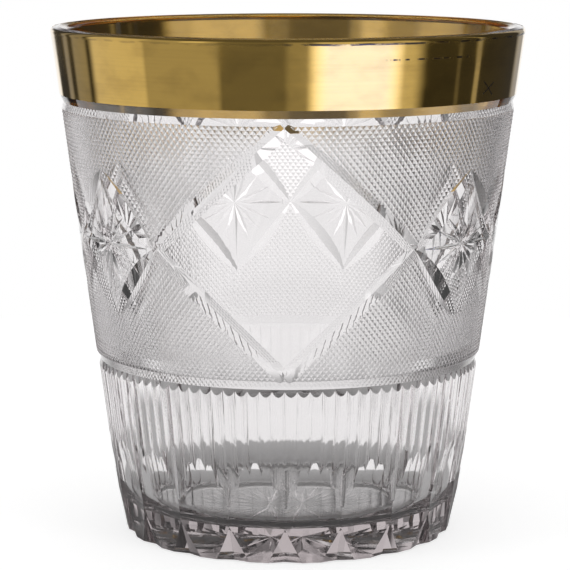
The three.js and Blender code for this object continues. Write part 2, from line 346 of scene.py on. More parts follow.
# %% Shape the waste of the hatching
HATCH_ROWS = 68
HATCH_DEPTH = 0.45
HATCH_POINT = 0.04
HATCH_OVERRUN = 0.3


def hatch_waste():
    azimuths = np.arange(COLUMNS) * 360 / COLUMNS
    low, high = wall_radius(FIELD_BOTTOM - HATCH_OVERRUN), wall_radius(FIELD_TOP + HATCH_OVERRUN)
    rows = np.arange(HATCH_ROWS + 1)
    radii = low * (high / low) ** (rows / HATCH_ROWS)
    levels = (radii - BASE_RADIUS) / TAPER
    is_point = (rows[:, None] + np.arange(COLUMNS)[None]) % 2 == 1
    depth = np.where(is_point, HATCH_POINT, HATCH_DEPTH * radii[:, None] / radii.mean())
    lattice = on_wall(azimuths[None], levels[:, None], -depth)
    outside = on_wall(azimuths[None], levels[[-1, 0], None], CLEAR)
    faces = []
    for i in range(HATCH_ROWS):
        for j in range(COLUMNS):
            a, b = i * COLUMNS + j, i * COLUMNS + (j + 1) % COLUMNS
            c, d = a + COLUMNS, b + COLUMNS
            faces += [(a, b, c), (b, d, c)] if (i + j) % 2 else [(a, b, d), (a, d, c)]
    outer_loops = [HATCH_ROWS, HATCH_ROWS + 1, HATCH_ROWS + 2, 0]
    for lower, upper in zip(outer_loops, outer_loops[1:]):
        for j in range(COLUMNS):
            below = lower * COLUMNS + j, lower * COLUMNS + (j + 1) % COLUMNS
            above = upper * COLUMNS + (j + 1) % COLUMNS, upper * COLUMNS + j
            faces.append(below + above)
    return np.concatenate([lattice, outside]), faces


waste = solid("hatch_waste", [hatch_waste()], GROUND_MATT)
print("hatching:", len(waste.data.polygons), "faces")

# %% [markdown]
# ## The plain panes
# The panes of the lozenges were never hatched. A pane can't be given back to the glass once it is
# cut, so a thick block over each lozenge is taken out of the waste first. The block is made of a
# grid of points on the cone, below the surface and above it, so that it follows the wall's curve.

# %% Keep the panes and cut the hatched ground
PANE_STEPS = 24
PANE_SHARE = 0.9995


def pane_block(azimuth, half_angle, half_height):
    """A thick lozenge that follows the wall, from under it to above it."""
    share = np.linspace(0, 1, PANE_STEPS + 1)
    u, v = np.meshgrid(share, share, indexing="ij")
    angles = azimuth + half_angle * PANE_SHARE * (u - v)
    levels = FIELD_MIDDLE + half_height * (1 - u - v)
    sheets = [on_wall(angles, levels, lift).reshape(-1, 3) for lift in (-CLEAR, 2 * CLEAR)]
    last, side, sheet = PANE_STEPS, PANE_STEPS + 1, (PANE_STEPS + 1) ** 2
    faces = []
    for i in range(last):
        for j in range(last):
            quad = [i * side + j, (i + 1) * side + j, (i + 1) * side + j + 1, i * side + j + 1]
            faces += [tuple(quad), tuple(sheet + k for k in reversed(quad))]
    rim = [i * side for i in range(last)] + [last * side + j for j in range(last)]
    rim += [i * side + last for i in range(last, 0, -1)] + list(range(last, 0, -1))
    faces += [(a, b, b + sheet, a + sheet) for a, b in zip(rim, rim[1:] + rim[:1])]
    return np.concatenate(sheets), faces


cut(waste, solid("pane_blocks", [pane_block(*lozenge) for lozenge in LOZENGES]))
cut(pail, waste)

# %% [markdown]
# ## The reeds
# Below the lower groove stand a hundred reeds. Each has a round crest, and the valleys between
# them are sharp, as a wheel with a hollow edge leaves them. The waste is again one ring, and its
# inner face takes eight steps to each reed.

# %% Cut the reeds
REEDS = 100
REED_STEPS = 8
REED_DEPTH = 0.8
CREST_INSET = 0.35
REEDS_BOTTOM = 24


def reed_waste():
    count = REEDS * REED_STEPS
    azimuths = np.arange(count) * 360 / count
    across = (np.arange(count) % REED_STEPS) / REED_STEPS - 0.5
    sunk = -CREST_INSET - REED_DEPTH * (2 * across) ** 2
    top = LOWER_GROOVE["level"]
    corners = [(REEDS_BOTTOM, sunk), (REEDS_BOTTOM, CLEAR), (top, CLEAR), (top, sunk)]
    loops = [on_wall(azimuths, level, lift) for level, lift in corners]
    return np.concatenate(loops), loops_joined(len(loops), count, closed=True)


cut(pail, solid("reed_waste", [reed_waste()]))

# %% [markdown]
# ## The sides of the lozenges
# Every lozenge is framed by four mitre cuts. On the small ones the wheel was pressed hardest at
# the middle of each side, so the cuts swell there like leaves and the pane between them has
# hollow sides. On the large one they keep nearly one width. The four cuts of one lozenge meet at
# its corners, so they are taken one side at a time for all the lozenges together.

# %% Cut the sides of the lozenges
SMALL_CUT = {"depth": 2.1, "tip_share": 0.16, "width_per_depth": 4.2}
LARGE_CUT = {"depth": 1.35, "tip_share": 0.85, "width_per_depth": 6.2}
SIDE_STATIONS = 25
CORNERS = [(0, 1), (1, 0), (0, -1), (-1, 0)]


def side_cutter(azimuth, half_angle, half_height, side):
    (turn_a, rise_a), (turn_b, rise_b) = CORNERS[side], CORNERS[(side + 1) % 4]
    share = np.linspace(0, 1, SIDE_STATIONS)
    azimuths = azimuth + half_angle * (turn_a + (turn_b - turn_a) * share)
    levels = FIELD_MIDDLE + half_height * (rise_a + (rise_b - rise_a) * share)
    wheel = LARGE_CUT if half_angle == LOZENGE_PITCH else SMALL_CUT
    swell = wheel["tip_share"] + (1 - wheel["tip_share"]) * (1 - (2 * share - 1) ** 2)
    sections = mitre_sections(wheel["depth"] * swell, wheel["width_per_depth"])
    return sweep(on_wall(azimuths, levels), wall_normal(azimuths), sections)


for side in range(len(CORNERS)):
    cut(pail, solid("lozenge_sides", [side_cutter(*lozenge, side) for lozenge in LOZENGES]))

# %% [markdown]
# ## The shape of a star
# A star is rays of mitre cuts that all run to one deep middle. As a solid it is a pyramid with a
# star-shaped foot: its apex is the deep middle, and each ray is two flat flanks. Sixteen separate
# cutters would meet in slivers there, and the pyramid has none. Rings of points between the apex
# and the outline, and steps along each side of a ray, let the wall's curve bend it. Without the
# steps the long flanks would sag under the curve and leave stray edges in the glass.

# %% Helpers that shape a star
STAR_RINGS = 8
RAY_STEPS = 6


def star_outline(rays, hollow, reach_of):
    """Points along the sides of a star's rays, as (sideways, upwards)."""
    corners = []
    for i in range(rays):
        for radius, angle in ((reach_of(i), i), (hollow, i + 0.5)):
            around = 2 * math.pi * angle / rays
            corners.append((radius * math.sin(around), radius * math.cos(around)))
    corners = np.array(corners)[:, None]
    share = np.arange(RAY_STEPS)[None, :, None] / RAY_STEPS
    return (corners * (1 - share) + np.roll(corners, -1, axis=0) * share).reshape(-1, 2)


def star_shape(outline, depth, lift, place):
    """A star-shaped pyramid. place turns (sideways, upwards, height) into points."""
    shares = np.linspace(0, 1 + lift / depth, STAR_RINGS + 1)[1:]
    rings = [place(*(outline.T * s), depth * (s - 1) + np.zeros(len(outline))) for s in shares]
    count = len(outline)
    last, apex, cap = (STAR_RINGS - 1) * count, STAR_RINGS * count, STAR_RINGS * count + 1
    ends = [place(np.zeros(1), np.zeros(1), np.array([height])) for height in (-depth, lift)]
    faces = loops_joined(STAR_RINGS, count, closed=False)
    faces += [((j + 1) % count, j, apex) for j in range(count)]
    faces += [(last + j, last + (j + 1) % count, cap) for j in range(count)]
    return np.concatenate(rings + ends), faces


print("a star has", STAR_RINGS, "rings, and a ray's side", RAY_STEPS, "steps")

# %% [markdown]
# ## The stars of the small lozenges
# Each small lozenge holds a star of sixteen rays. The rays that point at the lozenge's corners
# are the longest, and those between them are all of one shorter length. They are drawn flat and
# laid on the wall by azimuth and height.

# %% Cut the stars
STAR_RAYS = 16
STAR_DEPTH = 0.95
STAR_HOLLOW = 7.5
STAR_REACH = {"upright": 25, "sideways": 20, "short": 17}
STAR_LIFT = 0.3


def small_reach(i):
    if i % (STAR_RAYS // 4):
        return STAR_REACH["short"]
    return STAR_REACH["sideways" if i % (STAR_RAYS // 2) else "upright"]


def wall_star(azimuth):
    degrees_per_mm = math.degrees(1 / wall_radius(FIELD_MIDDLE))

    def place(sideways, upwards, lift):
        return on_wall(azimuth + sideways * degrees_per_mm, FIELD_MIDDLE + upwards, lift)

    return star_shape(star_outline(STAR_RAYS, STAR_HOLLOW, small_reach), STAR_DEPTH, STAR_LIFT, place)


cut(pail, solid("wall_stars", [wall_star(azimuth) for azimuth in SMALL_AZIMUTHS]))

# %% [markdown]
# ## The star under the base
# A large star is cut under the foot, where it catches light through the floor. It is the same
# kind of pyramid, laid on a flat face, and all its rays are of one length. It stays inside a
# plain ring, on which the pail stands.

# %% Cut the star under the base
BASE_STAR_RAYS = 20
BASE_STAR_RADIUS = 58
BASE_STAR_DEPTH = 3.2
BASE_STAR_HOLLOW = 19


def base_reach(i):
    """The same reach for every ray."""
    return BASE_STAR_RADIUS


def under_base(sideways, upwards, height):
    return np.stack([sideways, upwards, -height], -1)


base_outline = star_outline(BASE_STAR_RAYS, BASE_STAR_HOLLOW, base_reach)
cut(pail, solid("base_star", [star_shape(base_outline, BASE_STAR_DEPTH, CLEAR, under_base)]))

# %% [markdown]
# ## The hollow flutes
# Twenty hollow flutes stand round the foot. A broad wheel cut them upwards and was lifted off, so
# each ends at the top in a round shoulder among the reeds. Neighbouring flutes overlap at the
# arris between them, so every second one is cut first and the others in a second pass.

# %% Cut the flutes
FLUTES = 20
FLUTE_PITCH = 360 / FLUTES
FIRST_FLUTES = (0.5, 1.5)
FLUTE_TOP = 46
FLUTE_OVERRUN = 3
FLUTE_RUN_OUT = 30
FLUTE_LEVELS = 12
FLUTE_DEPTH = 2.6
FLUTE_HOLLOW_RADIUS = 60
FLUTE_REACH = 1.25
FLUTE_STEPS = 14


def flute(azimuth):
    straight_top = FLUTE_TOP - FLUTE_RUN_OUT
    levels = np.concatenate([[-CLEAR], np.linspace(straight_top, FLUTE_TOP + FLUTE_OVERRUN, FLUTE_LEVELS)])
    past = np.maximum(0, levels - straight_top) / FLUTE_RUN_OUT
    depths = FLUTE_DEPTH * (1 - past ** 2)
    reach = wall_radius(0) * math.tan(math.pi / FLUTES) * FLUTE_REACH
    across = np.linspace(-reach, reach, FLUTE_STEPS + 1)
    hollow = across[None] ** 2 / (2 * FLUTE_HOLLOW_RADIUS) - depths[:, None]
    arc = np.stack([np.broadcast_to(across, hollow.shape), hollow], -1)
    corner = np.broadcast_to([[reach, 2 * CLEAR], [-reach, 2 * CLEAR]], (len(levels), 2, 2))
    azimuths = np.full(len(levels), float(azimuth))
    return sweep(on_wall(azimuths, levels), wall_normal(azimuths), np.concatenate([arc, corner], 1))


for first in FIRST_FLUTES:
    cut(pail, solid("flutes", [flute((first + i) * FLUTE_PITCH) for i in range(0, FLUTES, 2)]))

# %% [markdown]
# ## The notches at the foot
# The arrises between the flutes are notched at the standing edge by a short wide mitre, like a
# row of small tents. The wheel was pressed in at the edge and runs out upwards, so the depth
# falls from the edge to the top of the notch. They are cut large, since they make the dark and
# light prisms of the foot.

# %% Cut the notches
NOTCH_TOP = 15.4
NOTCH_LEVELS = 6
NOTCH_DEPTH = 4.4
NOTCH_LEAST_DEPTH = 0.5
NOTCH_WIDTH_PER_DEPTH = 8.5


def notch(azimuth):
    levels = np.linspace(-CLEAR, NOTCH_TOP, NOTCH_LEVELS)
    depths = NOTCH_DEPTH * np.linspace(1, 0, NOTCH_LEVELS) + NOTCH_LEAST_DEPTH
    azimuths = np.full(len(levels), float(azimuth))
    sections = mitre_sections(depths, NOTCH_WIDTH_PER_DEPTH)
    return sweep(on_wall(azimuths, levels), wall_normal(azimuths), sections)


cut(pail, solid("notches", [notch(i * FLUTE_PITCH) for i in range(FLUTES)]))

# %% [markdown]
# ## Smooth glass with sharp cuts
# The turned and swept faces should look curved, and the cuts should keep their edges. Smooth
# shading does the first. Edges whose faces meet at more than a small angle are marked sharp, so
# that light breaks there. The limit lies above the steps of a reed's round crest and below the
# flanks of the lozenges' cuts. Weighted normals let the large faces at a smooth edge rule its
# shading, so that narrow faces left by a Boolean hardly bend it.

# %% Shade the pail
SHARP_ANGLE = 14
LARGE_FACES_RULE = 100

pail.data.shade_smooth()
pail.data.set_sharp_from_angle(angle=math.radians(SHARP_ANGLE))
weighted = pail.modifiers.new("weighted normals", "WEIGHTED_NORMAL")
weighted.keep_sharp = True
weighted.weight = LARGE_FACES_RULE
print("pail:", len(pail.data.polygons), "faces")

# %% [markdown]
# ## Where the glass was left matt
# The polished cuts are clear and the hatching is not. Two materials would split the pail, and one
# piece of glass should have one. The finish that each face took from its cutter becomes a face
# attribute instead, and the glass material reads it.

# %% Mark the matt faces
MATT_MARKS = "ground_matt"

finishes = np.zeros(len(pail.data.polygons), dtype=np.int32)
pail.data.polygons.foreach_get("material_index", finishes)
is_matt = finishes == GROUND_MATT
marks = pail.data.attributes.new(MATT_MARKS, "FLOAT", "FACE")
marks.data.foreach_set("value", is_matt.astype(np.float32))
pail.data.polygons.foreach_set("material_index", np.zeros_like(finishes))
print("matt faces of the hatching:", int(is_matt.sum()))

# %% [markdown]
# ## Small helpers for shader trees
# A shader tree is easier to read when sums are written as sums. The first helper only fills a
# socket. Each of the others adds a few nodes and gives back the output of the last.

# %% Helpers for sums and steps
def put(tree, value, socket):
    """Links another node's output to a socket, or sets a number or a colour on it."""
    if isinstance(value, bpy.types.NodeSocket):
        tree.links.new(value, socket)
    else:
        socket.default_value = value


def math_node(tree, operation, *values):
    """A Math node whose inputs are numbers or other nodes' outputs."""
    node = tree.nodes.new("ShaderNodeMath")
    node.operation = operation
    for socket, value in zip(node.inputs, values):
        put(tree, value, socket)
    return node.outputs["Value"]


def ramp_node(tree, value, from_min, from_max, to_min, to_max):
    """A soft step between two levels."""
    node = tree.nodes.new("ShaderNodeMapRange")
    node.interpolation_type = "SMOOTHSTEP"
    labels = ("From Min", "From Max", "To Min", "To Max")
    for label, level in zip(labels, (from_min, from_max, to_min, to_max)):
        node.inputs[label].default_value = level
    tree.links.new(value, node.inputs["Value"])
    return node.outputs["Result"]


def near_node(tree, value, middle, half, soft):
    """One where the value is close to a middle, with a soft edge."""
    offset = math_node(tree, "ABSOLUTE", math_node(tree, "SUBTRACT", value, middle))
    return ramp_node(tree, offset, half - soft, half + soft, 1, 0)


print("helpers: sums, soft steps and lines")

# %% Helpers for colours and noise
def colour_mix(tree, share, first, second):
    """From a first colour to a second by a share from 0 to 1."""
    node = tree.nodes.new("ShaderNodeMix")
    node.data_type = "RGBA"
    tree.links.new(share, node.inputs["Factor"])
    first_colour, second_colour = (s for s in node.inputs if s.type == "RGBA")
    put(tree, first, first_colour)
    put(tree, second, second_colour)
    return next(s for s in node.outputs if s.type == "RGBA")


def noise_node(tree, vector, stretch, detail):
    """Noise on a vector that is first stretched by three factors."""
    scaled = tree.nodes.new("ShaderNodeVectorMath")
    scaled.operation = "MULTIPLY"
    tree.links.new(vector, scaled.inputs[0])
    scaled.inputs[1].default_value = stretch
    noise = tree.nodes.new("ShaderNodeTexNoise")
    noise.inputs["Scale"].default_value = 1
    noise.inputs["Detail"].default_value = detail
    tree.links.new(scaled.outputs["Vector"], noise.inputs["Vector"])
    return noise.outputs["Fac"]


print("helpers: colours and noise")

# %% [markdown]
# ## Fine wear, for glass and gold alike
# Handled things carry a faint bloom in patches, where they are a little less smooth. One node
# group makes it from noise, so that the glass and the gold can share it with their own scale and
# amount. It puts out a value only, which each material adds to its roughness.

# %% Build the wear group
WEAR_DETAIL = 4
WEAR_STARTS, WEAR_FULL = 0.45, 0.75
VECTOR_INPUT = ("Vector", "NodeSocketVector", None)


def new_group(name, inputs, outputs):
    group = bpy.data.node_groups.new(name, "ShaderNodeTree")
    for label, kind, default in inputs:
        socket = group.interface.new_socket(label, in_out="INPUT", socket_type=kind)
        if default is not None:
            socket.default_value = default
    for label, kind in outputs:
        group.interface.new_socket(label, in_out="OUTPUT", socket_type=kind)
    return group, group.nodes.new("NodeGroupInput"), group.nodes.new("NodeGroupOutput")


def grouped_noise(group, start, detail):
    """Noise inside a group, on the group's own vector and scale."""
    noise = group.nodes.new("ShaderNodeTexNoise")
    noise.inputs["Detail"].default_value = detail
    group.links.new(start.outputs["Vector"], noise.inputs["Vector"])
    group.links.new(start.outputs["Scale"], noise.inputs["Scale"])
    return noise.outputs["Fac"]


fine_wear, start, end = new_group(
    "fine_wear",
    [VECTOR_INPUT, ("Scale", "NodeSocketFloat", 60.0), ("Amount", "NodeSocketFloat", 0.5)],
    [("Wear", "NodeSocketFloat")],
)
spread = fine_wear.nodes.new("ShaderNodeMapRange")
spread.inputs["From Min"].default_value = WEAR_STARTS
spread.inputs["From Max"].default_value = WEAR_FULL
fine_wear.links.new(grouped_noise(fine_wear, start, WEAR_DETAIL), spread.inputs["Value"])
amount = math_node(fine_wear, "MULTIPLY", spread.outputs["Result"], start.outputs["Amount"])
fine_wear.links.new(amount, end.inputs["Wear"])
print("wear group:", len(fine_wear.nodes), "nodes")

# %% [markdown]
# ## The waves of blown glass
# A blown wall is never quite even, and gold that is painted on it shows that too: its mirror
# images waver. Moving the mesh would do, but the waves are only hundredths of a millimetre high.
# A second group turns noise into a normal by a Bump node, with a height that each material sets.

# %% Build the group of waves
WAVES_DETAIL = 1

wall_waves, start, end = new_group(
    "wall_waves",
    [VECTOR_INPUT, ("Scale", "NodeSocketFloat", 40.0), ("Height", "NodeSocketFloat", 0.00003)],
    [("Normal", "NodeSocketVector")],
)
bump = wall_waves.nodes.new("ShaderNodeBump")
wall_waves.links.new(grouped_noise(wall_waves, start, WAVES_DETAIL), bump.inputs["Height"])
wall_waves.links.new(start.outputs["Height"], bump.inputs["Distance"])
wall_waves.links.new(bump.outputs["Normal"], end.inputs["Normal"])
print("group of waves:", len(wall_waves.nodes), "nodes")

# %% [markdown]
# ## The glass
# Lead glass bends light more than window glass does, so its index is 1.54. It is clear, with
# very little colour of its own, and a faintly absorbing volume dims the light that has passed
# through a lot of it, as in the heavy foot. Its roughness is almost nothing on the polished cuts.
# It rises on the matt faces of the hatching, a little where the wear group says so, and just
# above the table, where the standing edge has been rubbed.

# %% Helpers that start a material
def principled(name):
    material = bpy.data.materials.new(name)
    material.use_nodes = True
    return material, material.node_tree, material.node_tree.nodes["Principled BSDF"]


def placed_group(tree, group, vector, values):
    """A shared group in a material with values of its own. Gives back its one output."""
    node = tree.nodes.new("ShaderNodeGroup")
    node.node_tree = group
    for label, value in values.items():
        node.inputs[label].default_value = value
    tree.links.new(vector, node.inputs["Vector"])
    return node.outputs[0]


def paint(obj, material):
    """The only material of an object, in place of its empty slots."""
    obj.data.materials.clear()
    obj.data.materials.append(material)
    print(obj.name, "is", material.name)


print("helpers: materials and groups")

# %% Make the glass
GLASS_COLOUR = (0.985, 0.978, 0.98, 1)
GLASS_INDEX = 1.54
GLASS_TINT = (0.25, 0.12, 0.14, 1)
GLASS_DENSITY = 6.0
GLASS_WEAR = {"Scale": 45, "Amount": 0.03}
GLASS_WAVES = {"Scale": 60, "Height": 0.00002}
MATT_ROUGHNESS = 0.22
FOOT_ROUGHNESS = 0.1
FOOT_WEAR = (0.0003, 0.0015, FOOT_ROUGHNESS, 0)

glass, tree, shader = principled("lead_glass")
shader.inputs["Base Color"].default_value = GLASS_COLOUR
shader.inputs["IOR"].default_value = GLASS_INDEX
shader.inputs["Transmission Weight"].default_value = 1.0
place = tree.nodes.new("ShaderNodeTexCoord").outputs["Object"]
matt = tree.nodes.new("ShaderNodeAttribute")
matt.attribute_name = MATT_MARKS
split = tree.nodes.new("ShaderNodeSeparateXYZ")
tree.links.new(place, split.inputs["Vector"])
foot = ramp_node(tree, split.outputs["Z"], *FOOT_WEAR)
polished = math_node(tree, "ADD", placed_group(tree, fine_wear, place, GLASS_WEAR), foot)
roughness = math_node(tree, "MULTIPLY_ADD", matt.outputs["Fac"], MATT_ROUGHNESS, polished)
tree.links.new(roughness, shader.inputs["Roughness"])
tree.links.new(placed_group(tree, wall_waves, place, GLASS_WAVES), shader.inputs["Normal"])
depth = tree.nodes.new("ShaderNodeVolumeAbsorption")
depth.inputs["Color"].default_value = GLASS_TINT
depth.inputs["Density"].default_value = GLASS_DENSITY
tree.links.new(depth.outputs["Volume"], tree.nodes["Material Output"].inputs["Volume"])
paint(pail, glass)
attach(pail, "root")
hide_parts("glass_pail")

# %% [markdown]
# ## The gilding
# Liquid gold was painted on the outside of the wall and fired. It is a skin on the glass: its
# outer face stands just proud of the wall, and its inner face is a hair inside it, so that seen
# through the glass the gold lies in the glass with no film of air between. It starts at the upper
# groove and ends part way over the lip's round, so the top of the lip is bare. That edge was
# painted by hand, so it wavers a little.

# %% Build the skin of gold
GILT_LOW = UPPER_GROOVE["level"] + UPPER_GROOVE["height"] / 2
GILT_PROUD = 0.2
GILT_SUNK = -0.05
GILT_COLUMNS = 720
GILT_ROUND_ANGLES = (0, 15, 30, 45, 58)
GILT_WAVER = [(0.05, 7, 1), (0.04, 23, 0), (0.03, 61, 2)]
GILT_SHARP_ANGLE = 30
ROUND_FOOT = HEIGHT - LIP_CROWN - LIP_OUTER_ROUND


def gilt_ring(azimuths, angles, lift):
    """A ring of the skin over the lip's round, at some angle up the round."""
    out = wall_radius(ROUND_FOOT) - LIP_OUTER_ROUND + (LIP_OUTER_ROUND + lift) * np.cos(angles)
    return round_axis(out, np.radians(azimuths), ROUND_FOOT + (LIP_OUTER_ROUND + lift) * np.sin(angles))


def gilt_skin():
    azimuths = np.arange(GILT_COLUMNS) * 360 / GILT_COLUMNS
    waver = 1
    for share, waves, shift in GILT_WAVER:
        waver = waver + share * np.sin(waves * np.radians(azimuths) + shift)
    angles = [np.radians(angle) * waver for angle in GILT_ROUND_ANGLES]
    loops = [on_wall(azimuths, z, lift) for z, lift in
             ((GILT_LOW, GILT_SUNK), (GILT_LOW, GILT_PROUD), (ROUND_FOOT - EASE, GILT_PROUD))]
    loops += [gilt_ring(azimuths, angle, GILT_PROUD) for angle in angles]
    loops += [gilt_ring(azimuths, angle, GILT_SUNK) for angle in reversed(angles)]
    loops.append(on_wall(azimuths, ROUND_FOOT - EASE, GILT_SUNK))
    return np.concatenate(loops), loops_joined(len(loops), GILT_COLUMNS, closed=True)


band = solid("gilt_skin", [gilt_skin()])
band.data.shade_smooth()
band.data.set_sharp_from_angle(angle=math.radians(GILT_SHARP_ANGLE))
print("skin of gold:", len(band.data.polygons), "faces")

# %% [markdown]
# ## Gold, its strokes and its blotches
# Fired gold is a plain metal. It is never quite even: fine strokes run round the band, and soft
# blotches of duller gold lie over them. Both are noise on the unrolled band, whose two directions
# are the way round the wall and the height. A painted image would do too, but noise needs none,
# and the one seam of the unrolled band is at the back.

# %% Make the gold
GOLD = (0.88, 0.565, 0.12, 1)
DULL_GOLD = (0.64, 0.40, 0.08, 1)
GOLD_WEAR = {"Scale": 30, "Amount": 0.12}
BAND_RADIUS = 0.0975
STROKES = {"stretch": (14, 900, 1), "detail": 3}
STROKES_DULL = (0.4, 0.7, 0, 1)
STROKES_SHARE = 0.18
BLOTCHES = {"stretch": (60, 90, 1), "detail": 3}
BLOTCHES_DULL = (0.42, 0.72, 0, 0.6)

gold, tree, shader = principled("fired_gold")
shader.inputs["Metallic"].default_value = 1.0
shader.inputs["Coat Weight"].default_value = 1.0
place = tree.nodes.new("ShaderNodeTexCoord").outputs["Object"]
split = tree.nodes.new("ShaderNodeSeparateXYZ")
tree.links.new(place, split.inputs["Vector"])
backwards = math_node(tree, "MULTIPLY", split.outputs["Y"], -1.0)
along = math_node(tree, "MULTIPLY", math_node(tree, "ARCTAN2", split.outputs["X"], backwards), BAND_RADIUS)
height = split.outputs["Z"]
flat = tree.nodes.new("ShaderNodeCombineXYZ")
tree.links.new(along, flat.inputs["X"])
tree.links.new(height, flat.inputs["Y"])
unrolled = flat.outputs["Vector"]
strokes = noise_node(tree, unrolled, **STROKES)
blotches = ramp_node(tree, noise_node(tree, unrolled, **BLOTCHES), *BLOTCHES_DULL)
dull = math_node(tree, "MULTIPLY_ADD", ramp_node(tree, strokes, *STROKES_DULL), STROKES_SHARE, blotches)
print("gold:", len(tree.nodes), "nodes so far")

# %% [markdown]
# ## The places where the gold is worn
# Gilding wears where hands and cloths touch it. A broken line lies just under its upper edge,
# mostly on the right half, and a row of short dashes below it at the right. Farther round the
# wall two scratches cross. Each mark is a narrow line on the unrolled band. Noise breaks up the
# first two, and all of them look dark brown against the gold.

# %% Wear the gold
WORN_EDGE = {"middle": 0.2132, "half": 0.0004, "soft": 0.0002}
WORN_EDGE_WAVER = 0.0012
WORN_EDGE_WAVES = {"stretch": (70, 1, 1), "detail": 3}
WORN_EDGE_NOISE = {"stretch": (110, 300, 1), "detail": 4}
WORN_EDGE_GAPS = (0.4, 0.55, 0, 1)
WORN_EDGE_RUN = (-0.02, 0.01, 0.25, 1)
DASH_LINE = {"middle": 0.2063, "half": 0.00034, "soft": 0.0001}
DASH_RUN = {"middle": 0.061, "half": 0.02, "soft": 0.002}
DASH_NOISE = {"stretch": (260, 10, 1), "detail": 2}
DASH_GAPS = (0.44, 0.52, 0, 1)
SCRATCH_ALONG = 0.0965
SCRATCH_SLOPES = (0.55, -0.75)
SCRATCH_LINE = {"middle": 0.1926, "half": 0.0004, "soft": 0.00012}
SCRATCH_RUN = {"middle": 0.0, "half": 0.0042, "soft": 0.0005}

edge_wave = noise_node(tree, unrolled, **WORN_EDGE_WAVES)
edge_height = math_node(tree, "MULTIPLY_ADD", edge_wave, WORN_EDGE_WAVER, height)
edge_line = near_node(tree, edge_height, **WORN_EDGE)
edge_gaps = ramp_node(tree, noise_node(tree, unrolled, **WORN_EDGE_NOISE), *WORN_EDGE_GAPS)
edge_run = ramp_node(tree, along, *WORN_EDGE_RUN)
worn_edge = math_node(tree, "MULTIPLY", math_node(tree, "MULTIPLY", edge_line, edge_gaps), edge_run)
dash_line = near_node(tree, height, **DASH_LINE)
dash_run = near_node(tree, along, **DASH_RUN)
dash_gaps = ramp_node(tree, noise_node(tree, unrolled, **DASH_NOISE), *DASH_GAPS)
dashes = math_node(tree, "MULTIPLY", math_node(tree, "MULTIPLY", dash_line, dash_run), dash_gaps)
worn = math_node(tree, "MAXIMUM", worn_edge, dashes)
sideways = math_node(tree, "SUBTRACT", along, SCRATCH_ALONG)
scratch_run = near_node(tree, sideways, **SCRATCH_RUN)
for slope in SCRATCH_SLOPES:
    leaning = math_node(tree, "MULTIPLY_ADD", sideways, -slope, height)
    scratch = math_node(tree, "MULTIPLY", near_node(tree, leaning, **SCRATCH_LINE), scratch_run)
    worn = math_node(tree, "MAXIMUM", worn, scratch)
print("gold with its wear:", len(tree.nodes), "nodes")

# %% [markdown]
# ## The gilding put together
# The dull places change the gold's colour, and the worn places cover it with brown. Roughness is
# a low base with the wear group's bloom, a trace of the strokes, and more where the gold is worn.
# The waves are taller than those of the glass, so that the mirrored panels waver.

# %% Finish the gilding
WORN_BROWN = (0.035, 0.02, 0.01, 1)
GOLD_WAVES = {"Scale": 45, "Height": 0.00006}
LEAST_ROUGHNESS = 0.04
STROKES_ROUGHNESS = 0.05
WORN_ROUGHNESS = 0.3

colour = colour_mix(tree, dull, GOLD, DULL_GOLD)
tree.links.new(colour_mix(tree, worn, colour, WORN_BROWN), shader.inputs["Base Color"])
roughness = math_node(tree, "ADD", placed_group(tree, fine_wear, place, GOLD_WEAR), LEAST_ROUGHNESS)
roughness = math_node(tree, "MULTIPLY_ADD", strokes, STROKES_ROUGHNESS, roughness)
roughness = math_node(tree, "MULTIPLY_ADD", worn, WORN_ROUGHNESS, roughness)
tree.links.new(roughness, shader.inputs["Roughness"])
tree.links.new(placed_group(tree, wall_waves, place, GOLD_WAVES), shader.inputs["Normal"])
paint(band, gold)
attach(band, "root")
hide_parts("gilt_band")

# %% [markdown]
# ## The table
# The pail stands on a round white table. To the camera the table glows, so that it is as white as
# the air behind it. Glass and gold pass the eye on to the table too, and close by it should look
# dim to them, as a table does in the shade of a heavy pail. So it glows for their rays only
# beyond a circle that takes in the foot and the table in front of it.

# %% Set the table
TABLE_RADIUS = 0.55
TABLE_DROP = 0.0003
TABLE_SIDES = 96
TABLE_COLOUR = (0.6, 0.6, 0.6, 1)
TABLE_ROUGHNESS = 0.9
TABLE_GLOW = 0.63
ONWARD_GLOW = 0.9
DIM_MIDDLE = (0.0, -0.1, 0.0)
DIM_WITHIN = 0.25
GLOWS_BEYOND = 0.285
WHITE = (1, 1, 1, 1)

around = np.linspace(0, 2 * math.pi, TABLE_SIDES, endpoint=False)
rim = round_axis(1, around, 0) * TABLE_RADIUS / MM
table = solid("table", [(rim, [tuple(range(len(rim)))])])
table.location.z = -TABLE_DROP
white, tree, shader = principled("white_table")
shader.inputs["Base Color"].default_value = TABLE_COLOUR
shader.inputs["Roughness"].default_value = TABLE_ROUGHNESS
shader.inputs["Emission Color"].default_value = WHITE
path = tree.nodes.new("ShaderNodeLightPath")
onward = math_node(tree, "MAXIMUM", path.outputs["Is Glossy Ray"], path.outputs["Is Transmission Ray"])
distance = tree.nodes.new("ShaderNodeVectorMath")
distance.operation = "DISTANCE"
tree.links.new(tree.nodes.new("ShaderNodeNewGeometry").outputs["Position"], distance.inputs[0])
distance.inputs[1].default_value = DIM_MIDDLE
lit = ramp_node(tree, distance.outputs["Value"], DIM_WITHIN, GLOWS_BEYOND, 0, ONWARD_GLOW)
onward = math_node(tree, "MULTIPLY", onward, lit)
seen = math_node(tree, "MAXIMUM", onward, path.outputs["Is Camera Ray"])
tree.links.new(math_node(tree, "MULTIPLY", seen, TABLE_GLOW), shader.inputs["Emission Strength"])
paint(table, white)

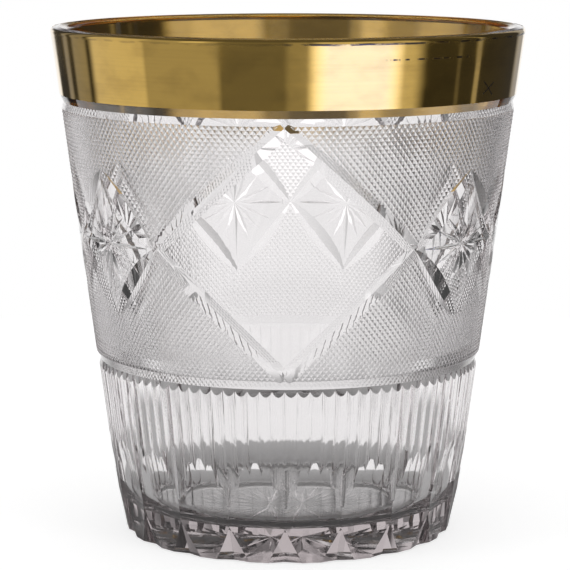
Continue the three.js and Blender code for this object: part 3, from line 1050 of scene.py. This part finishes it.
# %% [markdown]
# ## The studio as a ring of panels
# Glass and gold need more than white round them: cuts only show where they send the eye to
# something dark, and gold is dull where it mirrors one even tone. So the world is a ring of light
# and dark panels. A panel is an azimuth, a width, a brightness and the softness of its edges, the
# angles in degrees. Lamps could stand there, but panels in the world put no objects round the
# pail, and their edges are easy to move.

# %% Helpers that stand panels in the world
world = bpy.data.worlds.new("studio")
scene.world = world
world.use_nodes = True
tree = world.node_tree
direction = tree.nodes.new("ShaderNodeTexCoord")
split = tree.nodes.new("ShaderNodeSeparateXYZ")
tree.links.new(direction.outputs["Generated"], split.inputs["Vector"])
backwards = math_node(tree, "MULTIPLY", split.outputs["Y"], -1.0)
bearing = math_node(tree, "ARCTAN2", split.outputs["X"], backwards)
height = split.outputs["Z"]


def panel(azimuth, width, brightness, edge):
    """A light panel that stands at an azimuth, its angles in degrees."""
    offset = math_node(tree, "SUBTRACT", bearing, math.radians(azimuth))
    wrapped = math_node(tree, "ABSOLUTE", math_node(tree, "WRAP", offset, math.pi, -math.pi))
    half, soft = math.radians(width / 2), math.radians(edge)
    return ramp_node(tree, wrapped, half - soft, half + soft, brightness, 0)


def panel_from(foot, place):
    """A panel that starts above a height, given as where it is dark and where full."""
    return math_node(tree, "MULTIPLY", panel(*place), ramp_node(tree, height, *foot, 0, 1))


def panel_up_to(top, place):
    """A panel that ends at a height, given as where it is full and where dark."""
    return math_node(tree, "MULTIPLY", panel(*place), ramp_node(tree, height, *top, 1, 0))


def mixed(low_value, high_value, share):
    """From one level to another by a share from 0 to 1."""
    step = math_node(tree, "SUBTRACT", high_value, low_value)
    return math_node(tree, "MULTIPLY_ADD", step, share, low_value)


print("the world has", len(tree.nodes), "nodes so far")

# %% [markdown]
# ## What the gold mirrors
# The gold shows the ring of panels as it is, one light or dark stripe after another, with a dim
# ceiling above. Its outer face leans outwards at the top and so mirrors what lies below the
# horizon. There one low panel, to the right of the camera, gives the band its palest patch. Its
# light is cool daylight, which turns the yellow of the gold to cream.

# %% Light the gold
ROOM_LEVEL = 0.04
CEILING_LEVEL = 0.1
WALLS_TOP = (0.5, 0.75)
PANELS = [
    (-136, 6, 0.3, 2),
    (-121, 14, 0.28, 2),
    (-91, 38, 0.64, 3),
    (-53, 42, 0.38, 3),
    (-16, 34, 0.15, 3),
    (6, 14, 0.3, 4),
    (35.5, 44, 0.7, 5),
    (61, 16, 0.6, 5),
    (93, 3, 0.12, 1),
    (107, 4, 0.35, 1),
    (156, 16, 0.35, 4),
]
HIGH_PANEL = (-46, 16, 0.8, 4)
HIGH_PANEL_FOOT = (0.05, 0.15)
BEHIND_PANEL = (-177, 46, 1.0, 3)
BEHIND_PANEL_TOP = (0.06, 0.16)
LOW_PANEL = (35.5, 42, 1, 7)
LOW_PANEL_TOP = (-0.18, -0.1)
LOW_PANEL_BRIGHTNESS = 3.7

ring = ROOM_LEVEL
for light in PANELS:
    ring = math_node(tree, "MAXIMUM", panel(*light), ring)
ring = math_node(tree, "MAXIMUM", ring, panel_from(HIGH_PANEL_FOOT, HIGH_PANEL))
walls = ramp_node(tree, height, *WALLS_TOP, 1, 0)
room = mixed(CEILING_LEVEL, ring, walls)
low_share = panel_up_to(LOW_PANEL_TOP, LOW_PANEL)
low = math_node(tree, "MULTIPLY", low_share, LOW_PANEL_BRIGHTNESS)
behind = panel_up_to(BEHIND_PANEL_TOP, BEHIND_PANEL)
mirrored = math_node(tree, "MAXIMUM", room, math_node(tree, "MAXIMUM", low, behind))
print("studio of", len(PANELS), "panels")

# %% [markdown]
# ## What shows through the glass
# Through the clear parts the eye should find white behind the pail, and through the cuts now
# something light and now something dark. So a broad backdrop stands behind, and below the horizon
# the ground is lightest there and dimmer in front. Elsewhere the room is dark at eye level, and
# the ring only shows higher up.

# %% Light the glass
BACKDROP = (-167, 66, 0.95, 16)
RING_SHOWS_FROM = (0.05, 0.15)
GROUND = (-142.5, 115, 0.9, 18)
GROUND_CORE = (-172, 70, 1.35, 16)
GROUND_TOP = (-0.24, -0.16)
FRONT_FLOOR_LEVEL = 0.35

backdrop = math_node(tree, "MULTIPLY", panel(*BACKDROP), walls)
beyond = mixed(ROOM_LEVEL, room, ramp_node(tree, height, *RING_SHOWS_FROM, 0, 1))
ground = math_node(tree, "MAXIMUM", panel(*GROUND), FRONT_FLOOR_LEVEL)
ground = math_node(tree, "MAXIMUM", ground, panel(*GROUND_CORE))
above = math_node(tree, "MAXIMUM", beyond, backdrop)
through = mixed(above, ground, ramp_node(tree, height, *GROUND_TOP, 1, 0))
print("the world has", len(tree.nodes), "nodes")

# %% [markdown]
# ## One world for every kind of ray
# The camera itself sees plain white. Rays that a surface mirrors see the panels, rays that come
# on through glass see the backdrop and the ground, and all other rays, which light dull surfaces
# such as the table, find one soft level. The Light Path node tells them apart, so the level is a
# sum of four terms. The colour is white but for the low panel's daylight.

# %% Put the world together
SOFT_LEVEL = 0.7
DAYLIGHT = (0.36, 0.43, 1.0, 1)

path = tree.nodes.new("ShaderNodeLightPath")
glossy, passed, direct = (path.outputs[f"Is {kind} Ray"] for kind in ("Glossy", "Transmission", "Camera"))
told_apart = math_node(tree, "MAXIMUM", glossy, math_node(tree, "MAXIMUM", passed, direct))
others = math_node(tree, "SUBTRACT", 1.0, told_apart)
mirrors = math_node(tree, "MULTIPLY", glossy, math_node(tree, "SUBTRACT", 1.0, passed))
level = math_node(tree, "MULTIPLY_ADD", others, SOFT_LEVEL, direct)
level = math_node(tree, "MULTIPLY_ADD", passed, through, level)
level = math_node(tree, "MULTIPLY_ADD", mirrors, mirrored, level)
daylight_share = math_node(tree, "MULTIPLY", low_share, mirrors)
background = tree.nodes["Background"]
tree.links.new(colour_mix(tree, daylight_share, WHITE, DAYLIGHT), background.inputs["Color"])
tree.links.new(level, background.inputs["Strength"])
print("world:", len(tree.nodes), "nodes")

# %% [markdown]
# ## The lamps
# Two tall soft boxes, to the right and the left, light the table and lay the pail's soft shadow
# on it. In mirrors and through the glass the panels stand in for them, so the lamps are kept out
# of both.

# %% Hang the lamps
LAMP_AZIMUTHS = {"soft_box_right": 46, "soft_box_left": -60}
LAMP_DISTANCE = 1.5
LAMP_HEIGHT = 0.7
LAMP_SIZE = (0.45, 1.2)
LAMP_RADIANCE = 2.0
LAMP_AIM = Vector((0, 0, 0.11))


def soft_box(name, azimuth):
    lamp = bpy.data.lights.new(name, "AREA")
    lamp.shape = "RECTANGLE"
    lamp.size, lamp.size_y = LAMP_SIZE
    lamp.energy = LAMP_RADIANCE * math.pi * LAMP_SIZE[0] * LAMP_SIZE[1]
    obj = bpy.data.objects.new(name, lamp)
    around = math.radians(azimuth)
    obj.location = (LAMP_DISTANCE * math.sin(around), -LAMP_DISTANCE * math.cos(around), LAMP_HEIGHT)
    aim = LAMP_AIM - obj.location
    obj.rotation_euler = aim.to_track_quat("-Z", "Y").to_euler()
    obj.visible_camera = False
    obj.visible_glossy = False
    obj.visible_transmission = False
    scene.collection.objects.link(obj)
    print(name, "at", [round(v, 2) for v in obj.location])


for name, azimuth in LAMP_AZIMUTHS.items():
    soft_box(name, azimuth)

# %% [markdown]
# ## Finish
# The picture is shown with the Standard view transform, which leaves colours as they are
# written. Cut glass passes light on many times, so the rays may bounce more often than usual.

# %% Finish
MOST_BOUNCES = 24
GLOSSY_BOUNCES = 12

scene.view_settings.view_transform = "Standard"
scene.cycles.max_bounces = MOST_BOUNCES
scene.cycles.transmission_bounces = MOST_BOUNCES
scene.cycles.glossy_bounces = GLOSSY_BOUNCES
